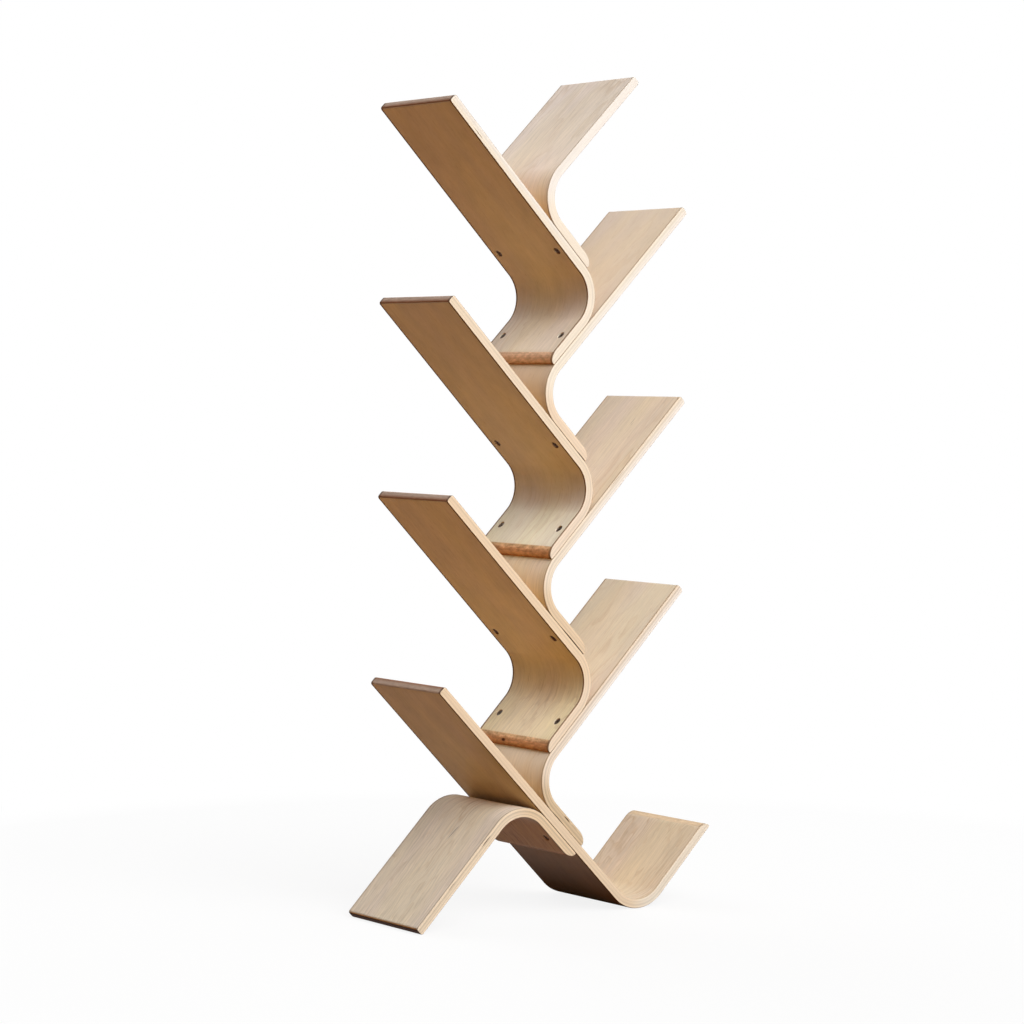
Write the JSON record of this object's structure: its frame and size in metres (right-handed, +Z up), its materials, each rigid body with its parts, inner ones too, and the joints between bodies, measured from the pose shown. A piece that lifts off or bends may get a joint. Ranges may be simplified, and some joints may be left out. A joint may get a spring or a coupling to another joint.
{
  "type": "shelving unit",
  "caption": "Free-standing zigzag shelving unit of bent plywood strips that lean to the right and left in turn, bolted where they lap, on a runner and a propping leg.",
  "frame": {"origin": "on the floor, in the middle of the overall width and depth", "axes": "+X to the right, towards the runner's short arm; +Y to the back; +Z up"},
  "size_m": [0.706, 0.23, 1.6148],
  "materials": {
    "birch_plywood": "clear satin lacquer over birch plywood, with bare layered edges",
    "bolt_metal": "dark bronzed steel",
    "nut_metal": "dark bronzed steel"
  },
  "bodies": {
    "root": {"shelf_right_1": "birch_plywood", "shelf_left_1": "birch_plywood", "shelf_right_2": "birch_plywood", "shelf_left_2": "birch_plywood", "shelf_right_3": "birch_plywood", "shelf_left_3": "birch_plywood", "shelf_right_4": "birch_plywood", "base_runner": "birch_plywood", "prop_foot": "birch_plywood", "bolts_joint_1": "bolt_metal", "bolts_joint_2": "bolt_metal", "bolts_joint_3": "bolt_metal", "bolts_joint_4": "bolt_metal", "bolts_joint_5": "bolt_metal", "bolts_joint_6": "bolt_metal", "bolts_joint_7": "bolt_metal", "sleeve_nuts_joint_1": "nut_metal", "sleeve_nuts_joint_2": "nut_metal", "sleeve_nuts_joint_3": "nut_metal", "sleeve_nuts_joint_4": "nut_metal", "sleeve_nuts_joint_5": "nut_metal", "sleeve_nuts_joint_6": "nut_metal", "sleeve_nuts_joint_7": "nut_metal"}
  },
  "joints": []
}
